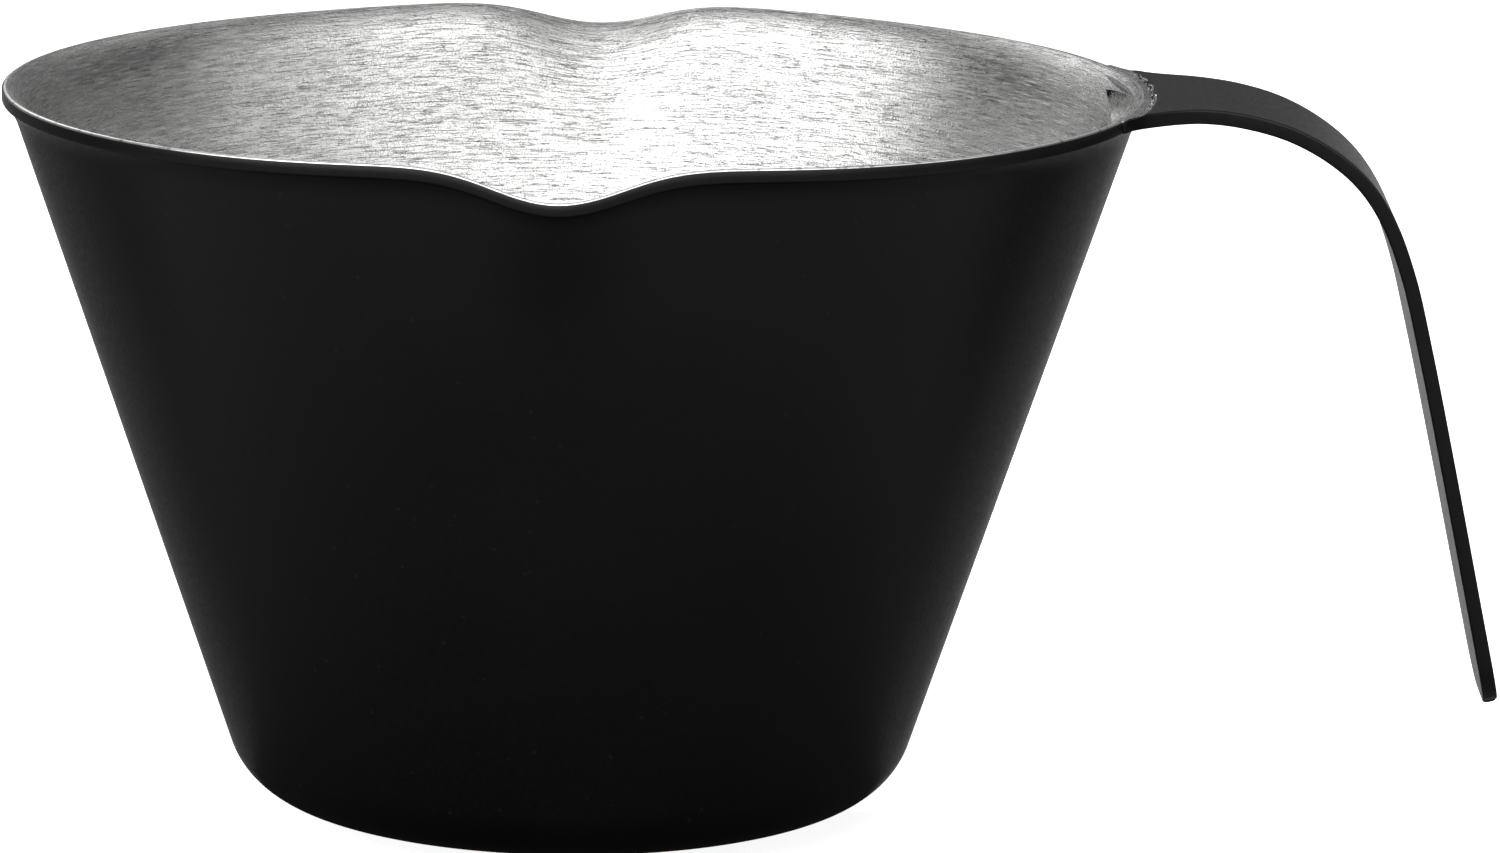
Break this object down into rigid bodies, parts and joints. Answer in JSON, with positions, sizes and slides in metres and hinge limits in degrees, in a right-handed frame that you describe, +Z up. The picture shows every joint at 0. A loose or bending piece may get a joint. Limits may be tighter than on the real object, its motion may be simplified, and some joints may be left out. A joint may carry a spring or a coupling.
{
  "type": "candle melting pot",
  "caption": "Small tapered steel melting and pouring cup with pour lips pressed into its flared rim and a bent strap handle; black coat outside, bare brushed steel inside.",
  "frame": {"origin": "centre of the flat base's underside", "axes": "+X towards the strap handle, +Y and -Y towards the pour lips, +Z up through the open mouth"},
  "size_m": [0.0991, 0.0772, 0.0488],
  "materials": {
    "brushed_steel": "brushed round the cup, bare",
    "black_coat": "satin black baked coat"
  },
  "bodies": {
    "root": {"cup_body": "brushed_steel", "body_coat": "black_coat", "strap_handle": "brushed_steel", "handle_coat": "black_coat"}
  },
  "joints": []
}
